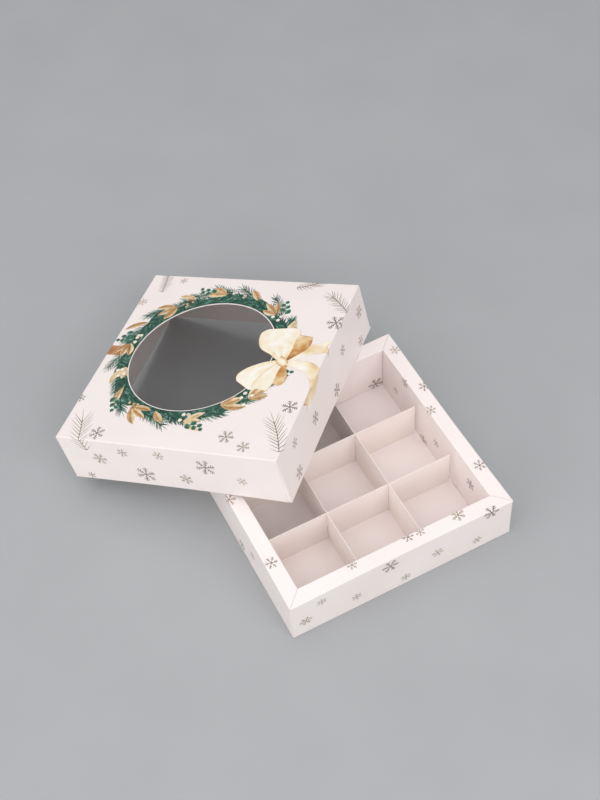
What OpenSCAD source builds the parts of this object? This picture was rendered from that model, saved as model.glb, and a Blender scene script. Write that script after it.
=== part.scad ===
// Square gift box for sweets, folded from thin white card.
// A tray with hollow walls holds four crossing divider cards. The lift-off lid, with a round window, leans on
// the tray as it was put down: one corner on the table, two edges on the tray's rim.
// Origin: centre of the underside of the tray. X runs along the tray's front wall, Y from front to back.

/* [Card] */
// Thickness of the card
board = 0.35; // [0.3:0.05:0.4]
// Radius of every fold, at the middle of the card
fold_r = 0.4; // [0.35:0.05:0.45]

/* [Tray] */
// Outside width and depth of the tray
tray_w = 145; // [143:0.5:147]
// Height of the tray
tray_h = 34; // [32:0.5:36]
// Width of the flat rim on top of each hollow wall
rim_w = 10; // [8:0.5:11]
// How far the feet of the right and back inner walls lean in
wall_lean = 1.2; // [0:0.1:1.5]
// Opening at the top of the slit beside each outer corner
tray_slit = 1.3; // [0.3:0.1:2]
// Width of the locking tabs under each inner wall
tab_w = 14; // [8:1:20]
// Distance of the locking tabs from the middle of the wall
tab_y = 32; // [20:1:42]

/* [Dividers] */
// Height of the divider cards
card_h = 28; // [24:0.5:30]
// Length of the divider cards
card_len = 122; // [120:0.5:122.5]
// Width of the first row of cells, against the front and left walls
first_cell = 38.6; // [36:0.1:41]
// Width of the other rows of cells
cell = 41.4; // [40:0.1:42.5]
// Width of the slots where two cards cross
slot_w = 0.8; // [0.6:0.1:1.2]

/* [Lid] */
// Height of the lid
lid_h = 36.5; // [34:0.5:39]
// Play between the lid and the tray, on each side
lid_fit = 0.2; // [0.1:0.05:0.5]
// Opening at the foot of the slit at the right end of the front panel
lid_slit = 2.4; // [0.4:0.1:3]
// Length of the flaps that join the lid's walls and the tray's walls at their corners
flap_len = 26; // [15:1:35]

/* [Window] */
// Diameter of the window in the lid
window_d = 94; // [60:1:100]
// Window centre to the right of the lid's middle
window_x = -7; // [-12:0.5:12]
// Window centre behind the lid's middle
window_y = 2.5; // [-12:0.5:12]
// Width of the square of clear film behind the window
film_w = 116; // [110:1:120]
// Thickness of the film
film_t = 0.15; // [0.1:0.05:0.25]

/* [Lid put down] */
// Turn of the lid against the tray
lid_turn = -45.9; // [-48:0.1:-44]
// Distance from the tray's left side to the lid's standing corner
foot_side = 38.7; // [36:0.1:41]
// Distance from the tray's back to the lid's standing corner
foot_back = 112.7; // [111:0.1:116]

/* [Hidden] */
$fn = 96;
gap = 0.05;                      // play between layers of card that lie on each other
hair = 0.15;                     // hairline between the mitred ends of the rims
past = 1;                        // how far a cutting shape reaches past what it cuts
half_w = tray_w / 2;
well = half_w - rim_w;           // from the middle of the tray to its inner walls
edge_r = fold_r + board / 2;     // outer radius of a fold
layers = 3 * board + 2 * gap;    // outer panel, flap and inner panel of the lid's front and back walls
lid_x = tray_w + 2 * (lid_fit + board);
lid_y = tray_w + 2 * (lid_fit + layers);
card_z = board + gap;            // underside of the divider cards
card_start = gap * 3 - well;     // front and left ends of the divider cards
crossings = [for (i = [0, 1]) card_start + first_cell + i * cell];
lid_foot = [foot_side - half_w, foot_back + half_w, gap / 2];

// Folded card as an outline: the points p run along the middle of the card and each corner becomes a fold
function unit(v) = v / norm(v);
function heading(a, b) = atan2(b.y - a.y, b.x - a.x);
function left_of(angle) = [-sin(angle), cos(angle)];
function fold(a, b, c) =
    let (start = heading(a, b),
         raw = heading(b, c) - start,
         turn = raw > 180 ? raw - 360 : raw < -180 ? raw + 360 : raw,
         hub = b - unit(b - a) * fold_r * tan(abs(turn) / 2) + sign(turn) * fold_r * left_of(start),
         steps = ceil(abs(turn) / 22.5))
    [for (i = [0 : steps]) let (h = start + turn * i / steps) [hub - sign(turn) * fold_r * left_of(h), h]];
function midline(p) =
    let (last = len(p) - 1)
    [[p[0], heading(p[0], p[1])],
     for (i = [1 : last - 1]) each fold(p[i - 1], p[i], p[i + 1]),
     [p[last], heading(p[last - 1], p[last])]];
function folded(p) =
    let (m = midline(p))
    [for (q = m) q[0] + left_of(q[1]) * board / 2,
     for (i = [len(m) - 1 : -1 : 0]) m[i][0] - left_of(m[i][1]) * board / 2];

// How the lid leans. Its open edge lies in a plane that rises from the standing corner by the slope s. Each
// pass finds where the lid's front and right edges cross the tray's left and back rims, and tips the plane so
// that both edges just clear the rim there.
function lid_axes(s) =
    let (along = [cos(lid_turn), sin(lid_turn)],
         x = unit([along.x, along.y, s * along]),
         z = unit([-s.x, -s.y, 1]))
    [x, cross(z, x), z];
function lid_slope(passes, s = [0, 0]) =
    passes == 0 ? s :
    let (axes = lid_axes(s),
         front = lid_foot - axes.y * (lid_y - layers),
         right = lid_foot + axes.x * (lid_x - board),
         p = front - axes.x * (front.x + half_w) / axes.x.x - lid_foot,
         q = right - axes.y * (right.y - half_w) / axes.y.y - lid_foot,
         rise = tray_h - lid_foot.z + gap)
    lid_slope(passes - 1, [q.y - p.y, p.x - q.x] * rise / (p.x * q.y - p.y * q.x));

// Everything on the lid is modelled about the middle of its open edge, then put where the lid rests
module at_lid() {
    axes = lid_axes(lid_slope(12));
    translate(lid_foot)
        rotate([atan2(axes.y.z, axes.z.z), -asin(axes.x.z), atan2(axes.x.y, axes.x.x)])
            translate([lid_x / 2, -lid_y / 2, 0])
                children();
}

// One outline swept along Y, for a wall that faces +X
module sweep(outline, length) {
    rotate([90, 0, 0])
        linear_extrude(length, center = true)
            polygon(outline);
}

// A flat shape drawn in Y and Z, standing upright from x to x + t
module upright(x, t) {
    translate([x, 0, 0])
        rotate([90, 0, 90])
            linear_extrude(t)
                children();
}

// The wedge in which a wall that faces +X stays, so that neighbouring walls meet at 45 degrees
module mitre(face, end, depth, height, slack) {
    trim = slack / sqrt(2);
    near = end - trim + past;
    far = near - depth - 2 * past;
    translate([0, 0, -past])
        linear_extrude(height + 2 * past)
            polygon([[face - depth - past, -far], [face + past, -near], [face + past, near],
                     [face - depth - past, far]]);
}

// Corner flap at the +Y end of a wall that faces +X: folded at the corner and tucked behind the next wall
module corner_flap(face, end, low, high) {
    reach = 4;
    taper = 5;
    x = face - board / 2;
    y = end - board / 2;
    translate([0, 0, low])
        linear_extrude(high - low)
            polygon(folded([[x, y - reach], [x, y], [x - reach, y]]));
    translate([face, end, 0])
        rotate([90, 0, 0])
            linear_extrude(board)
                polygon([[1 - reach, low], [-flap_len, low + taper], [-flap_len, high - taper], [1 - reach, high]]);
}

// A wall that faces +X, cut open at both ends from low to high, with a corner flap in each opening
module flapped(face, end, low, high) {
    difference() {
        children();
        for (way = [0, 1])
            mirror([0, way, 0])
                translate([face - edge_r, end - edge_r, low])
                    cube([edge_r + past, edge_r + past, high - low]);
    }
    for (way = [0, 1])
        mirror([0, way, 0])
            corner_flap(face, end, low, high);
}

// Cuts the +Y end of a wall that faces +X back from its corner, so that a slit opens there
module slit_cut(face, end, depth, low, high, at_low, at_high) {
    upright(face - depth, depth + past)
        polygon([[end - at_low, low], [end + past, low], [end + past, high], [end - at_high, high]]);
}

// Hollow wall of the tray, facing +X: outer wall, rim and inner wall rolled over, with two tabs at its foot
module rolled_wall(lean) {
    outer = half_w - board / 2;
    inner = well + board / 2;
    top = tray_h - board / 2;
    lap = 4;
    difference() {
        intersection() {
            sweep(folded([[half_w - lap, board / 2], [outer, board / 2], [outer, top], [inner, top],
                          [inner - lean, gap / 2]]), tray_w);
            mitre(half_w, half_w, rim_w + lap, tray_h, hair);
        }
        for (part = [[-well, -tab_y - tab_w / 2], [tab_w / 2 - tab_y, tab_y - tab_w / 2],
                     [tab_y + tab_w / 2, well]])
            translate([inner - lean - lap / 2, part[0], board - past])
                cube([lap, part[1] - part[0], past + gap]);
    }
}

// Left and right walls of the tray, with flaps that hold the corners
module tray_side(lean) {
    flapped(half_w, half_w - board - gap, 2 * edge_r, tray_h - 2 * edge_r)
        rolled_wall(lean);
}

// Front and back walls of the tray, cut back at both ends
module tray_end(lean) {
    foot_slit = 0.2;
    difference() {
        rolled_wall(lean);
        for (way = [0, 1])
            mirror([0, way, 0])
                slit_cut(half_w, half_w, edge_r, edge_r, tray_h - board, foot_slit, tray_slit);
    }
}

// Floor of the tray, with a slot for each tab
module tray_floor() {
    play = 0.15;
    slot = [board + wall_lean + 2 * play, tab_w + 2 * play];
    linear_extrude(board)
        difference() {
            square(tray_w - 2 * edge_r, center = true);
            for (turn = [0 : 90 : 270], y = [-tab_y, tab_y])
                rotate(turn)
                    translate([well + board + play - slot.x, y - slot.y / 2])
                        square(slot);
        }
}

module tray() {
    color("#f4ece8") {
        tray_floor();
        tray_side(wall_lean);
        rotate(90)
            tray_end(wall_lean);
        rotate(180)
            tray_side(0);
        rotate(270)
            tray_end(0);
    }
}

// Divider card along Y at x, standing on the tray's floor, with its two slots open at the top or at the foot
module divider(x, slots_up) {
    depth = card_h / 2 + 2 * gap;
    slot_z = slots_up ? card_z + card_h - depth : card_z - past;
    color("#f1e4dc")
        upright(x - board / 2, board)
            difference() {
                translate([card_start, card_z])
                    square([card_len, card_h]);
                for (y = crossings)
                    translate([y - slot_w / 2, slot_z])
                        square([slot_w, depth + past]);
            }
}

module lower_divider_left() {
    divider(crossings[0], true);
}

module lower_divider_right() {
    divider(crossings[1], true);
}

module upper_divider_front() {
    mirror([1, -1, 0])
        divider(crossings[0], false);
}

module upper_divider_back() {
    mirror([1, -1, 0])
        divider(crossings[1], false);
}

// Left and right walls of the lid, facing +X: one panel, with a flap at each end
module lid_side() {
    face = lid_x / 2;
    end = lid_y / 2;
    top = lid_h - board / 2;
    lap = 4;
    flapped(face, end - board - gap, 2 * edge_r, lid_h - 2 * edge_r)
        intersection() {
            sweep(folded([[face - lap, top], [face - board / 2, top], [face - board / 2, 0]]), lid_y);
            mitre(face, end, lap, lid_h, 0);
        }
}

// Front and back walls of the lid, facing +X: outer panel, and an inner panel turned up over the flaps
module lid_end() {
    face = lid_y / 2;
    end = lid_x / 2;
    top = lid_h - board / 2;
    hem = layers - board;
    inner_top = lid_h - board - 4 * gap;
    inner_end = end - board - 0.5;
    lap = 4;
    difference() {
        intersection() {
            sweep(folded([[face - lap, top], [face - board / 2, top], [face - board / 2, board / 2],
                          [face - board / 2 - hem, board / 2], [face - board / 2 - hem, inner_top]]), lid_x);
            mitre(face, end, lap, lid_h, 0);
        }
        slit_cut(face, end, edge_r, -past, lid_h - edge_r, lid_slit, 0);
        mirror([0, 1, 0])
            slit_cut(face, end, edge_r, -past, lid_h - edge_r, 0.4, 0);
        for (way = [0, 1])
            mirror([0, way, 0])
                translate([face - lap - past, inner_end, -past])
                    cube([lap + past - board - gap, past + lap, past + inner_top + gap]);
    }
}

module lid() {
    color("#f6eeeb")
        at_lid() {
            translate([0, 0, lid_h - board])
                linear_extrude(board)
                    difference() {
                        square([lid_x - 2 * edge_r, lid_y - 2 * edge_r], center = true);
                        translate([window_x, window_y])
                            circle(d = window_d);
                    }
            for (turn = [0, 180]) {
                rotate(turn)
                    lid_side();
                rotate(turn + 90)
                    lid_end();
            }
        }
}

// Clear film glued under the lid's top panel, behind the window
module window_film() {
    color("#c9ced0", 0.3)
        at_lid()
            translate([window_x, window_y, lid_h - board - film_t])
                linear_extrude(film_t)
                    square(film_w, center = true);
}

tray();
lower_divider_left();
lower_divider_right();
upper_divider_front();
upper_divider_back();
lid();
window_film();
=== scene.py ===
"""Looks of a folded-card gift box for sweets: a printed tray, divider cards, and a lid with a round window.

Lengths are in millimetres until a mesh is made. A print is drawn flat on the opened-out card, cut along the
folds, and then laid over the folded card.
"""

import math
import random

import bmesh
import bpy
from mathutils import Euler, Matrix, Vector


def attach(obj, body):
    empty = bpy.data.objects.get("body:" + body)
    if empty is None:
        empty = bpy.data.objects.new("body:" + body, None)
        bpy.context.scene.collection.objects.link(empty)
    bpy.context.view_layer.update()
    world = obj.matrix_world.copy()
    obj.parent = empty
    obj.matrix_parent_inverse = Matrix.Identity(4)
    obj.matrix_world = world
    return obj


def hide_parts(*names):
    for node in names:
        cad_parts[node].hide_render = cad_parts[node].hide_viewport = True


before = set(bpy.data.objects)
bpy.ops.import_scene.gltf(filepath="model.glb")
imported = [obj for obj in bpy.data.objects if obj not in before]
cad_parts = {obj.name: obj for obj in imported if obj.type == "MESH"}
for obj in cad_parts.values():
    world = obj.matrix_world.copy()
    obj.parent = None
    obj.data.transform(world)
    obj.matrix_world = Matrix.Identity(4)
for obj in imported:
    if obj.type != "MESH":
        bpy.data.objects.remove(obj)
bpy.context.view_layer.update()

MM = 0.001
TURN = 2 * math.pi
AT_ORIGIN = Matrix.Identity(4)

# The box, as its solids have it
FOLD_R = 0.575
TRAY_W = 145.0
TRAY_H = 34.0
RIM_W = 10.0
WALL_LEAN = 1.2
LID_X = 146.1
LID_Y = 147.7
LID_H = 36.5
LID_SLIT = 2.4
WINDOW = Vector((-7.0, 2.5))
WINDOW_R = 47.0
FOLD_ARC = FOLD_R * math.pi / 2
RIM_MID = (TRAY_W - RIM_W) / 2
SIDES = {"right": 0, "back": 1, "left": 2, "front": 3}
LEANING = ("right", "back")
LID_PLACE = Matrix.LocRotScale(
    Vector((-38.057, 83.815, 22.230)),
    Euler([math.radians(a) for a in (-4.598, -13.004, -45.9)], "XYZ"),
    None,
)

# The camera, fitted to the edges of the tray and the lid in the photograph
FRAME_SIZE = (600, 800)
FOCAL_PX = 1303.5
CAMERA_AT = Vector((-191.56, -392.55, 673.34))
CAMERA_RIGHT = Vector((0.88699, -0.45845, -0.0555))
CAMERA_UP = Vector((0.39616, 0.69364, 0.60159))

# Where prints lie, as pixels of the photograph, with the radius of each snowflake in millimetres
LID_FLAKES = [
    (97, 433, 5.2), (143, 302, 3.4), (184, 281, 2.8), (226, 437, 5.0), (243, 447, 4.2), (290, 407, 5.2),
    (316, 418, 4.6), (295, 443, 3.4), (336, 323, 6.2), (359, 312, 4.6), (343, 350, 3.8), (338, 390, 4.8),
    (81, 398, 3.2), (100, 459, 5.0), (122, 453, 3.6), (158, 456, 3.8), (146, 475, 6.6), (186, 480, 4.4),
    (205, 468, 6.6), (242, 482, 3.4), (275, 478, 5.0), (92, 475, 2.8), (361, 341, 3.8), (300, 472, 4.6),
]
TRAY_FLAKES = {
    ("front", "outer"): [(322, 602, 3.2), (357, 597, 3.4), (306, 621, 4.2), (391, 567, 5.6), (406, 577, 3.4),
                         (438, 553, 4.0), (477, 540, 3.4), (492, 513, 5.2)],
    ("front", "rim"): [(458, 515, 4.4), (408, 537, 3.6), (352, 565, 3.2), (420, 532, 3.0)],
    ("left", "rim"): [(228, 500, 4.6), (271, 563, 4.0)],
    ("left", "outer"): [(242, 545, 4.0), (252, 556, 3.0)],
    ("right", "rim"): [(395, 350, 3.4), (425, 386, 4.0), (431, 410, 3.6), (480, 465, 4.0)],
    ("right", "inner"): [(405, 383, 3.6), (397, 390, 2.8), (425, 440, 5.0), (437, 443, 3.2), (471, 484, 4.2),
                         (450, 477, 2.6)],
    ("back", "inner"): [(375, 383, 5.6)],
}
SPRIGS = [
    ((74, 451), (84, 412)), ((279, 452), (272, 414)), ((162, 292), (170, 271)),
    ((347, 312), (328, 293)), ((297, 288), (328, 281)),
]
KNOT = (282, 362)
BAND = (112, 350)

# Snowflakes on walls that the photograph doesn't show: how many to a wall, and how far apart
HIDDEN_FLAKES = 8
HIDDEN_START = -60
HIDDEN_STEP = 17

# Height of a print over the card, and what each later layer adds
PRINT_LIFT = 0.035
LAYER_LIFT = 0.0006

# How far a print ends above the foot of a wall, and from the ends of an outer wall and the mitre of a rim
CLEAR_EDGE = 0.4
CLEAR_END = 1.6
CLEAR_MITRE = 0.2

# Where the lock tabs press on the lid's front wall, as pixels of the photograph
LOCK_DENT = (90, 462)
LOCK_BULGE = (255, 475)


# Materials

def linear(code):
    """An sRGB hex colour as linear red, green, blue and alpha"""
    parts = [int(code[i:i + 2], 16) / 255 for i in (1, 3, 5)]
    return [c / 12.92 if c <= 0.04045 else ((c + 0.055) / 1.055) ** 2.4 for c in parts] + [1.0]


def add(tree, kind, settings=None, inputs=None):
    """Adds a node. An input is a value, or the socket that feeds it."""
    node = tree.nodes.new(kind)
    for name, value in (settings or {}).items():
        setattr(node, name, value)
    for name, value in (inputs or {}).items():
        if isinstance(value, bpy.types.NodeSocket):
            tree.links.new(value, node.inputs[name])
        else:
            node.inputs[name].default_value = value
    return node


def ramp(tree, factor, stops):
    """Colours along a ramp: stops are (position, hex colour)"""
    node = add(tree, "ShaderNodeValToRGB", inputs={"Fac": factor})
    while len(node.color_ramp.elements) < len(stops):
        node.color_ramp.elements.new(0.5)
    for element, (position, code) in zip(node.color_ramp.elements, stops):
        element.position = position
        element.color = linear(code)
    return node.outputs["Color"]


def blank(name):
    material = bpy.data.materials.new(name)
    material.use_nodes = True
    tree = material.node_tree
    tree.nodes.clear()
    output = add(tree, "ShaderNodeOutputMaterial")
    place = add(tree, "ShaderNodeTexCoord").outputs["Object"]
    return material, tree, output, place


def noise(tree, place, grain, detail=2.0):
    """Noise whose blobs are grain millimetres across"""
    return add(tree, "ShaderNodeTexNoise", inputs={
        "Vector": place, "Scale": 1 / (grain * MM), "Detail": detail}).outputs["Fac"]


def card(name, light, dark, roughness, height):
    """Folding boxboard. Its pulp fibres clump to about 0.4 mm, drawn 0.8 mm wide so that they show, and the
    board's tone drifts over some 40 mm."""
    material, tree, output, place = blank(name)
    drift = noise(tree, place, 40.0)
    fibres = noise(tree, place, 0.8, 4.0)
    tone = add(tree, "ShaderNodeMath", {"operation": "MULTIPLY_ADD"},
               {0: fibres, 1: 0.45, 2: drift}).outputs[0]
    gloss = add(tree, "ShaderNodeMapRange", inputs={
        "Value": fibres, "To Min": roughness - 0.06, "To Max": roughness + 0.08}).outputs["Result"]
    bump = add(tree, "ShaderNodeBump", inputs={"Height": fibres, "Strength": 0.35, "Distance": height * MM})
    shader = add(tree, "ShaderNodeBsdfPrincipled", inputs={
        "Base Color": ramp(tree, tone, [(0.45, dark), (0.95, light)]),
        "Roughness": gloss, "IOR": 1.5, "Normal": bump.outputs["Normal"]})
    tree.links.new(shader.outputs["BSDF"], output.inputs["Surface"])
    return material


def ink(name, stops, metallic, roughness, grain):
    """Offset or foil print. The tone that the print carries picks the colour, broken up as by a brush."""
    material, tree, output, place = blank(name)
    tone = add(tree, "ShaderNodeAttribute", {"attribute_name": "tone"}).outputs["Fac"]
    brush = add(tree, "ShaderNodeMapRange", inputs={
        "Value": noise(tree, place, grain, 3.0), "From Min": 0.3, "From Max": 0.7,
        "To Min": -0.14, "To Max": 0.14}).outputs["Result"]
    mixed = add(tree, "ShaderNodeMath", {"operation": "ADD", "use_clamp": True},
                {0: tone, 1: brush}).outputs[0]
    bump = add(tree, "ShaderNodeBump", inputs={
        "Height": noise(tree, place, 0.8, 4.0), "Strength": 0.25, "Distance": 0.01 * MM})
    shader = add(tree, "ShaderNodeBsdfPrincipled", inputs={
        "Base Color": ramp(tree, mixed, stops), "Metallic": metallic, "Roughness": roughness,
        "Normal": bump.outputs["Normal"]})
    tree.links.new(shader.outputs["BSDF"], output.inputs["Surface"])
    return material


def film():
    """Clear polypropylene film, cast: glossy, with a faint haze and slight waves some 30 mm long. Its dark
    tint is painted shade.
    """
    material, tree, output, place = blank("cast_film_painted_shade")
    bump = add(tree, "ShaderNodeBump", inputs={
        "Height": noise(tree, place, 30.0), "Strength": 0.2, "Distance": 0.3 * MM})
    haze = add(tree, "ShaderNodeMapRange", inputs={
        "Value": noise(tree, place, 12.0), "To Min": 0.05, "To Max": 0.12}).outputs["Result"]
    shader = add(tree, "ShaderNodeBsdfPrincipled", inputs={
        # The dark warm-grey base colour at alpha 0.2 is painted shade: it darkens the shaded inside of the
        # lid seen through the film
        "Base Color": linear("#45423d"), "Roughness": haze, "IOR": 1.49, "Alpha": 0.2,
        "Normal": bump.outputs["Normal"]})
    tree.links.new(shader.outputs["BSDF"], output.inputs["Surface"])
    return material


COATED_CARD = card("coated_boxboard", "#f8eeeb", "#f3e8e5", 0.5, 0.012)
PLAIN_CARD = card("uncoated_boxboard", "#f8eee9", "#f2e6e0", 0.72, 0.03)
FILM = film()
INKS = [
    ink("fir_green_ink", [(0.0, "#0b3026"), (0.4, "#1d5342"), (0.75, "#3a7560"), (1.0, "#8fae9c")],
        0.0, 0.5, 2.5),
    ink("gold_leaf_ink", [(0.0, "#84562c"), (0.35, "#bd9160"), (0.7, "#dfc498"), (1.0, "#f8f0de")],
        0.0, 0.42, 3.0),
    ink("berry_ink", [(0.0, "#a98b5c"), (0.5, "#e6dcc6"), (1.0, "#faf6ee")], 0.0, 0.5, 1.5),
    ink("satin_ribbon_ink", [(0.0, "#9a5b26"), (0.25, "#cd9350"), (0.5, "#ecd2a2"), (0.75, "#f8ecd2"),
                             (1.0, "#fdf9f0")], 0.0, 0.45, 5.0),
    ink("tan_foil", [(0.0, "#74645c"), (0.5, "#a08f82"), (1.0, "#cdb892")], 0.3, 0.4, 2.0),
    ink("copper_band_ink", [(0.0, "#8f5a37"), (0.5, "#ad7449"), (1.0, "#c79267")], 0.1, 0.45, 5.0),
]
FIR, GOLD, BERRY, SATIN, FOIL, COPPER = range(len(INKS))


# Where a pixel of the photograph lies on the box

def side_place(side):
    """The frame in which a wall of the tray faces +X"""
    return Matrix.Rotation(SIDES[side] * math.pi / 2, 4, "Z")


def seen_on(pixel, place, axis, value):
    """The point of a plane that shows at a pixel, in the frame of place"""
    ahead = CAMERA_UP.cross(CAMERA_RIGHT)
    ray = (ahead + CAMERA_RIGHT * (pixel[0] - FRAME_SIZE[0] / 2) / FOCAL_PX
           - CAMERA_UP * (pixel[1] - FRAME_SIZE[1] / 2) / FOCAL_PX)
    back = place.inverted()
    start = back @ CAMERA_AT
    way = back.to_3x3() @ ray
    return start + way * (value - start[axis]) / way[axis]


def run_down(half, top, height):
    """Distance along the card from the middle of a panel, over its fold, down to a height on the wall"""
    return half - FOLD_R + FOLD_ARC + top - FOLD_R - height


def lid_spot(pixel):
    """The place on the lid's opened-out card that shows at a pixel: on the top, or else on a wall in view"""
    at = seen_on(pixel, LID_PLACE, 2, LID_H)
    if at.x > LID_X / 2:
        at = seen_on(pixel, LID_PLACE, 0, LID_X / 2)
        return run_down(LID_X / 2, LID_H, at.z), at.y
    if at.y < -LID_Y / 2:
        at = seen_on(pixel, LID_PLACE, 1, -LID_Y / 2)
        return at.x, -run_down(LID_Y / 2, LID_H, at.z)
    return at.x, at.y


def over_edge(run, half, top, lift):
    """Where the card is after that distance: how far out, and how high"""
    flat = half - FOLD_R
    if run <= flat:
        return run, top + lift
    angle = (run - flat) / FOLD_R
    if angle < math.pi / 2:
        return flat + (FOLD_R + lift) * math.sin(angle), top - FOLD_R + (FOLD_R + lift) * math.cos(angle)
    return half + lift, top - FOLD_R - (run - flat - FOLD_ARC)


def lid_skin(x, y, lift):
    """A point of the lid's opened-out card, on the made-up lid"""
    if abs(x) > LID_X / 2 - FOLD_R:
        out, height = over_edge(abs(x), LID_X / 2, LID_H, lift)
        return Vector((math.copysign(out, x), y, height))
    out, height = over_edge(abs(y), LID_Y / 2, LID_H, lift)
    return Vector((x, math.copysign(out, y), height))


def tray_skin(side):
    """The same for one wall of the tray: x runs outwards from the middle of the rim, y along the wall"""
    lean = WALL_LEAN if side in LEANING else 0.0

    def skin(x, y, lift):
        out, height = over_edge(abs(x), RIM_W / 2, TRAY_H, lift)
        leaning = lean * (TRAY_H - height) / TRAY_H if x < 0 else 0.0
        return side_place(side) @ Vector((RIM_MID + math.copysign(out, x) - leaning, y, height))
    return skin


# Slight bows of the card, as it comes out of the fold

def ease(value, low, high):
    t = min(max((value - low) / (high - low), 0.0), 1.0)
    return t * t * (3 - 2 * t)


DENT_AT = seen_on(LOCK_DENT, LID_PLACE, 1, -LID_Y / 2)
BULGE_AT = seen_on(LOCK_BULGE, LID_PLACE, 1, -LID_Y / 2)


def lid_bow(p):
    """Top panel slightly crowned, walls drawn in at their open edge, lock tabs pressing on the front wall"""
    crown, draw, press = 0.5, 0.8, 0.55
    x, y, z = p
    open_end = 1 - z / LID_H
    across_x = math.cos(math.pi * x / LID_X)
    across_y = math.cos(math.pi * y / LID_Y)
    bow = Vector((0, 0, crown * across_x * across_y * ease(z, LID_H - 6, LID_H)))
    bow.x = -math.copysign(draw, x) * across_y * open_end * ease(abs(x), 60, 72)
    bow.y = -math.copysign(draw, y) * across_x * open_end * ease(abs(y), 60, 72)
    if y < -60:
        for mark, push in ((DENT_AT, press), (BULGE_AT, -press)):
            far = ((x - mark.x) / 7) ** 2 + ((z - mark.z) / 3.2) ** 2
            bow.y += push * math.exp(-far)
    return p + bow


def tray_bow(p):
    """Outer walls drawn in between their corners; the inner walls stay where the divider cards hold them"""
    draw = 0.7
    x, y, z = p
    bow = Vector((0, 0, 0))
    well = TRAY_W / 2 - RIM_W
    along_y = max(math.cos(math.pi * y / TRAY_W), 0)
    along_x = max(math.cos(math.pi * x / TRAY_W), 0)
    bow.x = -math.copysign(draw, x) * along_y * (z / TRAY_H) * ease(abs(x), well + 1, TRAY_W / 2)
    bow.y = -math.copysign(draw, y) * along_x * (z / TRAY_H) * ease(abs(y), well + 1, TRAY_W / 2)
    return p + bow


def finish_mesh(mesh, name, materials, body):
    data = bpy.data.meshes.new(name)
    mesh.to_mesh(data)
    mesh.free()
    for material in materials:
        data.materials.append(material)
    piece = bpy.data.objects.new(name, data)
    bpy.context.scene.collection.objects.link(piece)
    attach(piece, body)
    return piece


def bowed(node, body, place, bow, pitch, material):
    """A CAD node's card, cut into a fine grid in the frame of place, with the bow put into it"""
    mesh = bmesh.new()
    mesh.from_mesh(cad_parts[node].data)
    bmesh.ops.transform(mesh, matrix=place.inverted() @ Matrix.Scale(1 / MM, 4), verts=mesh.verts)
    bmesh.ops.remove_doubles(mesh, verts=mesh.verts, dist=0.002)
    for axis in range(3):
        low = min(v.co[axis] for v in mesh.verts)
        high = max(v.co[axis] for v in mesh.verts)
        count = int((high - low) / pitch)
        for i in range(1, count):
            cut = Vector((0, 0, 0))
            cut[axis] = low + (high - low) * i / count
            normal = Vector((0, 0, 0))
            normal[axis] = 1
            geometry = mesh.verts[:] + mesh.edges[:] + mesh.faces[:]
            bmesh.ops.bisect_plane(mesh, geom=geometry, dist=0.001, plane_co=cut, plane_no=normal)
    for v in mesh.verts:
        v.co = place @ bow(v.co) * MM
    for face in mesh.faces:
        face.smooth = True
        face.material_index = 0
    piece = finish_mesh(mesh, node + "_card", [material], body)
    piece.data.set_sharp_from_angle(angle=math.radians(35))
    weighted = piece.modifiers.new("even_shading", "WEIGHTED_NORMAL")
    weighted.keep_sharp = True
    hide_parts(node)
    return piece


# Prints, drawn on the opened-out card

class Print:
    """Flat drawing in millimetres. Each level lies a little above the one before."""

    def __init__(self):
        self.mesh = bmesh.new()
        self.tone = self.mesh.verts.layers.float.new("tone")
        self.level = 0

    def rows(self, rows, colour, closed=False):
        """Faces between rows of points, each (x, y, tone)"""
        lift = PRINT_LIFT + LAYER_LIFT * self.level
        made = []
        for row in rows:
            verts = []
            for x, y, tone in row:
                vert = self.mesh.verts.new((x, y, lift))
                vert[self.tone] = tone
                verts.append(vert)
            made.append(verts)
        if closed:
            made.append(made[0])
        for near, far in zip(made, made[1:]):
            for i in range(len(near) - 1):
                face = self.mesh.faces.new((near[i], near[i + 1], far[i + 1], far[i]))
                face.material_index = colour

    def stroke(self, start, angle, length, width, tip, colour, tone):
        """One tapered stroke"""
        along = Vector((math.cos(angle), math.sin(angle)))
        side = Vector((-along.y, along.x))
        rows = []
        for reach, thick in ((0, width), (0.55, width * 0.9), (1, tip)):
            middle = start + along * length * reach
            rows.append([(*(middle - side * thick / 2), tone), (*(middle + side * thick / 2), tone)])
        self.rows(rows, colour)

    def lay(self, name, body, place, skin, bow, lines, keep, inks):
        """Cuts the drawing along lines (point, normal), drops what keep refuses, and lays it on the card"""
        mesh = self.mesh
        for point, normal in lines:
            geometry = mesh.verts[:] + mesh.edges[:] + mesh.faces[:]
            bmesh.ops.bisect_plane(
                mesh, geom=geometry, dist=1e-4, plane_co=(*point, 0), plane_no=(*normal, 0))
        gone = [f for f in mesh.faces if not keep(f.calc_center_median())]
        bmesh.ops.delete(mesh, geom=gone, context="FACES")
        bmesh.ops.dissolve_degenerate(mesh, dist=1e-3, edges=mesh.edges[:])
        mesh.normal_update()
        for face in mesh.faces:
            if face.normal.z < 0:
                face.normal_flip()
        for v in mesh.verts:
            v.co = place @ bow(skin(*v.co)) * MM
        return finish_mesh(mesh, name, inks, body)


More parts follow.
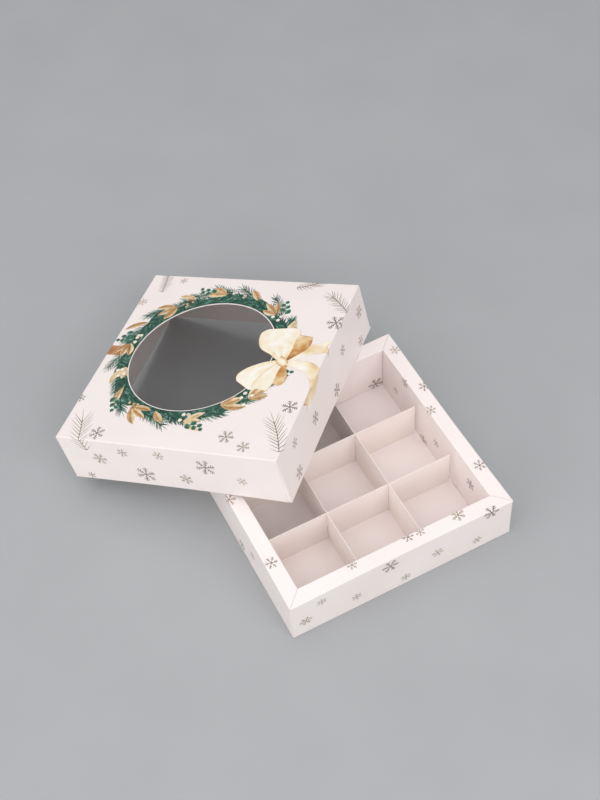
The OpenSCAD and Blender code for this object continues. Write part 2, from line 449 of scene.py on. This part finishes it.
def snowflake(sheet, x, y, radius, turn, rng):
    """Six-armed snowflake with three pairs of barbs to an arm on large ones and two on small ones"""
    barb_turn = 0.9
    middle = Vector((x, y))
    stroke = 0.078 * radius + 0.12
    tone = rng.uniform(0.0, 0.35) if radius > 5 else rng.uniform(0.15, 0.7)
    barbs = ((0.34, 0.24), (0.56, 0.36), (0.78, 0.24)) if radius > 4 else ((0.5, 0.34), (0.78, 0.24))
    for arm in range(6):
        angle = turn + arm * TURN / 6
        sheet.stroke(middle, angle, radius, stroke, stroke * 0.5, FOIL, tone + 0.25 * (arm % 2))
        for reach, length in barbs:
            foot = middle + Vector((math.cos(angle), math.sin(angle))) * radius * reach
            for way in (-1, 1):
                sheet.stroke(foot, angle + way * barb_turn, radius * length, stroke * 0.75, stroke * 0.35,
                             FOIL, tone)


def fir_twig(sheet, foot, heading, length, needle, pairs, width, colour, tones, bend, rng):
    """A twig with needles on both sides, which lie closer to it towards its tip"""
    at = foot.copy()
    step = length / pairs
    for i in range(pairs):
        s = i / pairs
        angle = heading + bend * s
        along = Vector((math.cos(angle), math.sin(angle)))
        sheet.stroke(at, angle, step * 1.15, width * 1.2, width * 0.9, colour, tones[0])
        for way in (-1, 1):
            spread = (0.95 - 0.5 * s) * rng.uniform(0.85, 1.15)
            reach = needle * (0.55 + 0.9 * s * (1.35 - s)) * rng.uniform(0.85, 1.1)
            sheet.stroke(at, angle + way * spread, reach, width, width * 0.25, colour, rng.uniform(*tones))
        at = at + along * step
    sheet.stroke(at, heading + bend, needle * 0.8, width, width * 0.25, colour, tones[1])


def leaf(sheet, foot, heading, length, width, colour, dark, light, curl=0.3):
    """A pointed leaf with a dark half, a light half and a vein"""
    rows = []
    count = 7
    at = foot.copy()
    for i in range(count + 1):
        s = i / count
        angle = heading + curl * s
        side = Vector((-math.sin(angle), math.cos(angle)))
        half = width / 2 * math.sin(math.pi * min(s * 0.96 + 0.02, 1)) ** 0.85
        vein = dark * 0.6 + light * 0.1
        rows.append([(*(at + side * half), light), (*(at + side * half * 0.12), (dark + light) / 2),
                     (*at, vein), (*(at - side * half * 0.12), dark),
                     (*(at - side * half), (dark + light) / 2)])
        at = at + Vector((math.cos(angle), math.sin(angle))) * length / count
    sheet.rows(rows, colour)


def dot(sheet, at, radius, colour, rim, middle):
    """A round berry, lighter towards its upper left"""
    shine = at + Vector((-0.25, 0.3)) * radius
    rows = []
    for i in range(10):
        angle = TURN * i / 10
        edge = at + Vector((math.cos(angle), math.sin(angle))) * radius
        rows.append([(*shine, middle), (*((edge + shine) / 2), (rim + middle) / 2), (*edge, rim)])
    sheet.rows(rows, colour, closed=True)


def ring_point(angle, reach):
    return WINDOW + Vector((math.cos(angle), math.sin(angle))) * (WINDOW_R + reach)


def wreath(sheet):
    """Fir wreath round the window: a dark ground, fir twigs, gilded leaves, round leaves and berries"""
    rng = random.Random(17)
    rows = []
    for i in range(120):
        angle = TURN * i / 120
        outer = 8.2 + 1.4 * math.sin(5 * angle + 1) + 1.0 * math.sin(13 * angle) + rng.uniform(-0.9, 0.9)
        rows.append([(*ring_point(angle, 0.6), 0.2), (*ring_point(angle, 4), rng.uniform(0.1, 0.5)),
                     (*ring_point(angle, outer), 0.3)])
    sheet.rows(rows, FIR, closed=True)
    twigs = 64
    for i in range(twigs):
        sheet.level += 1
        angle = TURN * i / twigs + rng.uniform(-0.05, 0.05)
        lean = (-0.42, 0.05, 0.2, -0.2)[i % 4] + rng.uniform(-0.08, 0.08)
        fir_twig(sheet, ring_point(angle, rng.uniform(3, 9)), angle + TURN / 4 + lean, rng.uniform(14, 21),
                 rng.uniform(5.5, 7.5), 14, 0.55, FIR, (0.0, 0.95), 0.35, rng)
    leaf_clusters = 17
    for i in range(leaf_clusters):
        sheet.level += 1
        angle = TURN * (i + 0.3) / leaf_clusters + rng.uniform(-0.1, 0.1)
        foot = ring_point(angle, rng.uniform(2.5, 9))
        pale = 0.35 * (i % 4 == 1)
        for k, turn in enumerate((-0.6, 0.1, 0.75)[:rng.choice((1, 2, 3))]):
            leaf(sheet, foot, angle + TURN / 4 + turn - 0.2, rng.uniform(10, 16), rng.uniform(3.8, 5.8), GOLD,
                 rng.uniform(0.1, 0.35) + pale, rng.uniform(0.75, 1.0), 0.5 - 0.4 * k)
            sheet.level += 1
    round_leaf_stems = 6
    for i in range(round_leaf_stems):
        sheet.level += 1
        angle = TURN * (i + 0.75) / round_leaf_stems
        stem = ring_point(angle, 11)
        for k in range(5):
            foot = stem + Vector((math.cos(angle + 1.1), math.sin(angle + 1.1))) * 2.4 * k
            leaf(sheet, foot, angle + (1.9 if k % 2 else 0.2), 4.6 - 0.4 * k, 4.0 - 0.3 * k, FIR, 0.45, 0.95)
    berry_clusters = 9
    for i in range(berry_clusters):
        sheet.level += 1
        angle = TURN * (i + 0.1) / berry_clusters + rng.uniform(-0.1, 0.1)
        gilded = i % 3 == 0
        for k in range(8 if gilded else 4):
            at = ring_point(angle + rng.uniform(-0.09, 0.09), rng.uniform(3, 12))
            if gilded:
                dot(sheet, at, 1.05, GOLD, 0.15, 0.95)
            else:
                dot(sheet, at, 1.35, BERRY, 0.45, 1.0)
    window_edge = WINDOW_R + 0.55
    for v in sheet.mesh.verts:
        out = Vector(v.co.xy) - WINDOW
        if out.length < window_edge:
            v.co.xy = WINDOW + out.normalized() * window_edge


def through(points, count):
    """A smooth line through points, which may have any number of values each"""
    result = []
    ends = [points[0], *points, points[-1]]
    for i in range(count + 1):
        s = min(i / count * (len(points) - 1), len(points) - 1 - 1e-6)
        k = int(s)
        t = s - k
        a, b, c, d = ends[k:k + 4]
        result.append([0.5 * (2 * q + (r - p) * t + (2 * p - 5 * q + 4 * r - u) * t * t
                              + (3 * q - p - 3 * r + u) * t ** 3) for p, q, r, u in zip(a, b, c, d)])
    return result


SATIN_ACROSS = [-1, -0.95, -0.8, -0.6, -0.4, -0.2, 0, 0.2, 0.4, 0.6, 0.8, 0.95, 1]


def satin(sheet, knot, spine, shade, notch=0.0):
    """A stretch of satin ribbon: spine points are (x, y, width) from the knot, and shade gives its tone"""
    sheet.level += 2
    line = through(spine, 24)
    rows = []
    for i, (x, y, width) in enumerate(line):
        s = i / (len(line) - 1)
        near, far = line[max(i - 1, 0)], line[min(i + 1, len(line) - 1)]
        along = Vector((far[0] - near[0], far[1] - near[1])).normalized()
        side = Vector((-along.y, along.x))
        row = []
        for c in SATIN_ACROSS:
            back = notch * (1 - abs(c)) * ease(s, 0.75, 1)
            at = knot + Vector((x, y)) + side * width / 2 * c - along * back
            outline = 0.4 if abs(c) == 1 or i == len(line) - 1 else 0.0
            row.append((*at, shade(s, c) - outline))
        rows.append(row)
    sheet.rows(rows, SATIN)


def bow_knot(sheet, knot):
    """Two open loops, two tails with notched ends, and the knot"""
    def pleats(depth, count, base):
        return lambda s, c: (base - depth * math.exp(-3.2 * s) * (0.5 + 0.5 * math.cos(count * math.pi * c))
                             - 0.16 * abs(c) ** 6)

    def inside(s, c):
        return 0.16 + 0.3 * s + 0.12 * c

    def tail(s, c):
        return 0.72 + 0.2 * math.sin(6.5 * s + 1.2 * c) - 0.35 * math.exp(-9 * s)

    satin(sheet, knot, [(0, 0, 3.5), (10, -1.5, 6.5), (20, -4, 8.5), (28, -15, 8), (31, -31, 8)], tail, 3.5)
    satin(sheet, knot, [(0, 0, 3.5), (6, 5, 6.5), (14, 11, 8), (27, 16, 9.5)], tail, 3.5)
    satin(sheet, knot, [(0, 0, 3), (3.5, 8, 9), (6.5, 16, 13), (7.5, 23, 9)], inside)
    satin(sheet, knot, [(0, 0, 4), (-4, 9, 15), (-8.5, 17, 25), (-10, 25, 25), (-10.5, 28, 16)],
          pleats(0.55, 3, 0.93))
    satin(sheet, knot, [(0, 0, 3), (2, -8, 8), (3, -15, 10), (2, -19, 6)], inside)
    satin(sheet, knot, [(0, 0, 4), (-7, -7, 14), (-13, -14.5, 20), (-16, -19.5, 19), (-17.5, -22, 12)],
          pleats(0.6, 3, 0.95))
    satin(sheet, knot, [(0, 0, 3), (-3, -9, 8), (-5, -18, 12), (-6, -24, 11)], pleats(0.4, 2, 0.85))
    satin(sheet, knot, [(-3.4, 2.6, 4.5), (-1, 0.8, 6), (1.2, -1, 6), (3, -2.6, 4.4)],
          lambda s, c: 0.62 + 0.3 * math.cos(2.4 * c) - 0.25 * abs(2 * s - 1))


def lid_sheet():
    rng = random.Random(5)
    sheet = Print()
    for x, y, radius in LID_FLAKES:
        across, along = lid_spot((x, y))
        snowflake(sheet, across, along, radius, rng.uniform(0, 1), rng)
    for wall in range(2):
        for i in range(HIDDEN_FLAKES):
            down = run_down(LID_X / 2, LID_H, rng.uniform(8, 30))
            along = HIDDEN_START + HIDDEN_STEP * i + rng.uniform(-4, 4)
            spot = (-down, along) if wall else (along, down + (LID_Y - LID_X) / 2)
            snowflake(sheet, *spot, rng.uniform(3, 6.6), rng.uniform(0, 1), rng)
    for foot_at, tip_at in SPRIGS:
        sheet.level += 1
        foot = seen_on(foot_at, LID_PLACE, 2, LID_H).xy
        way = seen_on(tip_at, LID_PLACE, 2, LID_H).xy - foot
        fir_twig(sheet, foot, math.atan2(way.y, way.x) - 0.1, way.length * 0.8, way.length * 0.36, 10, 0.42,
                 FOIL, (0.15, 0.95), 0.2, rng)
    sheet.level += 1
    middle = seen_on(BAND, LID_PLACE, 2, LID_H).y
    band_half = 4.2
    stations = [-50 - 4 * i for i in range(9)]
    rows = [[(x, middle + band_half * c, 0.5 + 0.4 * c * c) for c in (-1, -0.6, 0, 0.6, 1)] for x in stations]
    sheet.rows(rows, COPPER)
    wreath(sheet)
    bow_knot(sheet, seen_on(KNOT, LID_PLACE, 2, LID_H).xy)
    lines = []
    for half, normal in ((LID_X / 2, (1, 0)), (LID_Y / 2, (0, 1))):
        for i in range(5):
            reach = half - FOLD_R + FOLD_ARC * i / 4
            lines += [((way * reach * normal[0], way * reach * normal[1]), normal) for way in (-1, 1)]
        foot = run_down(half, LID_H, CLEAR_EDGE)
        lines += [((way * foot * normal[0], way * foot * normal[1]), normal) for way in (-1, 1)]

    def keep(at):
        over_x = abs(at.x) > LID_X / 2 - FOLD_R
        over_y = abs(at.y) > LID_Y / 2 - FOLD_R
        if over_x and over_y:
            return False
        if abs(at.x) > run_down(LID_X / 2, LID_H, CLEAR_EDGE):
            return False
        if abs(at.y) > run_down(LID_Y / 2, LID_H, CLEAR_EDGE):
            return False
        down = abs(at.y) - LID_Y / 2
        return not (over_y and at.x > LID_X / 2 - 0.8 - LID_SLIT * down / LID_H)
    return sheet.lay("lid_print", "lid", LID_PLACE, lid_skin, lid_bow, lines, keep, INKS)


def tray_sheet(side):
    rng = random.Random(40 + SIDES[side])
    sheet = Print()
    place = side_place(side)
    planes = {"outer": (0, TRAY_W / 2, 1), "rim": (2, TRAY_H, 0), "inner": (0, TRAY_W / 2 - RIM_W, -1)}
    for part, (axis, value, way) in planes.items():
        for x, y, radius in TRAY_FLAKES.get((side, part), []):
            at = seen_on((x, y), place, axis, value)
            run = way * run_down(RIM_W / 2, TRAY_H, at.z) if way else at.x - RIM_MID
            snowflake(sheet, run, at.y, radius, rng.uniform(0, 1), rng)
    if side in LEANING:
        for i in range(HIDDEN_FLAKES):
            run = run_down(RIM_W / 2, TRAY_H, rng.uniform(6, 28))
            along = HIDDEN_START + HIDDEN_STEP * i + rng.uniform(-4, 4)
            snowflake(sheet, run, along, rng.uniform(2.8, 5.4), rng.uniform(0, 1), rng)
    lines = [((0, 0), (1, 0))]
    for i in range(5):
        reach = RIM_W / 2 - FOLD_R + FOLD_ARC * i / 4
        lines += [((way * reach, 0), (1, 0)) for way in (-1, 1)]
    lines += [((0, way * (RIM_MID - CLEAR_MITRE)), (1, -way)) for way in (-1, 1)]
    foot = run_down(RIM_W / 2, TRAY_H, CLEAR_EDGE)
    lines += [((way * foot, 0), (1, 0)) for way in (-1, 1)]

    def keep(at):
        if abs(at.x) > foot:
            return False
        if at.x > RIM_W / 2 - FOLD_R:
            return abs(at.y) < TRAY_W / 2 - CLEAR_END
        if at.x < FOLD_R - RIM_W / 2:
            return abs(at.y) < TRAY_W / 2 - RIM_W - 0.3
        return abs(at.y) < RIM_MID - CLEAR_MITRE + at.x
    inks = INKS[:FOIL + 1]
    return sheet.lay(f"tray_print_{side}", "tray", AT_ORIGIN, tray_skin(side), tray_bow, lines, keep, inks)


# The box
bowed("tray", "tray", AT_ORIGIN, tray_bow, 6.0, COATED_CARD)
bowed("lid", "lid", LID_PLACE, lid_bow, 4.0, COATED_CARD)
bowed("window_film", "lid", LID_PLACE, lid_bow, 8.0, FILM)
lid_sheet()
for side in SIDES:
    tray_sheet(side)
for name in ("lower_divider_left", "lower_divider_right", "upper_divider_front", "upper_divider_back"):
    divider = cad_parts[name].data
    divider.materials.clear()
    divider.materials.append(PLAIN_CARD)


# The studio

def make_floor():
    material, tree, output, place = blank("seamless_studio_paper")
    shader = add(tree, "ShaderNodeBsdfPrincipled", inputs={
        "Base Color": ramp(tree, noise(tree, place, 60.0), [(0.3, "#a8aaac"), (0.7, "#abadaf")]),
        "Roughness": 0.85})
    tree.links.new(shader.outputs["BSDF"], output.inputs["Surface"])
    mesh = bmesh.new()
    bmesh.ops.create_grid(mesh, x_segments=1, y_segments=1, size=12.0)
    data = bpy.data.meshes.new("studio_floor")
    mesh.to_mesh(data)
    mesh.free()
    data.materials.append(material)
    sheet = bpy.data.objects.new("studio_floor", data)
    bpy.context.scene.collection.objects.link(sheet)


def softbox(name, at, target, size, power, colour):
    lamp = bpy.data.lights.new(name, "AREA")
    lamp.shape = "SQUARE"
    lamp.size = size
    lamp.energy = power
    lamp.color = linear(colour)[:3]
    box = bpy.data.objects.new(name, lamp)
    box.location = at
    box.rotation_euler = (Vector(target) - Vector(at)).to_track_quat("-Z", "Y").to_euler()
    bpy.context.scene.collection.objects.link(box)


def make_camera():
    data = bpy.data.cameras.new("camera")
    data.sensor_width = 36
    data.lens = FOCAL_PX * data.sensor_width / max(FRAME_SIZE)
    data.clip_end = 20
    eye = bpy.data.objects.new("camera", data)
    back = CAMERA_RIGHT.cross(CAMERA_UP)
    turned = Matrix((CAMERA_RIGHT, CAMERA_UP, back)).transposed().to_4x4()
    eye.matrix_world = Matrix.Translation(CAMERA_AT * MM) @ turned
    bpy.context.scene.collection.objects.link(eye)
    bpy.context.scene.camera = eye


STUDIO_CENTRE = (-0.02, 0.05, 0)
make_floor()
make_camera()
softbox("overhead_softbox", (-0.25, 0.25, 1.5), STUDIO_CENTRE, 2.0, 10, "#ffffff")
softbox("front_softbox", (0.15, -1.25, 0.95), STUDIO_CENTRE, 1.4, 11.5, "#ffffff")
softbox("left_softbox", (-1.35, -0.3, 0.5), STUDIO_CENTRE, 1.2, 7, "#ffffff")
scene = bpy.context.scene
scene.world = bpy.data.worlds.new("soft_room")
scene.world.use_nodes = True
background = scene.world.node_tree.nodes["Background"]
background.inputs["Color"].default_value = linear("#fdfdff")
background.inputs["Strength"].default_value = 0.5
scene.view_settings.view_transform = "Standard"
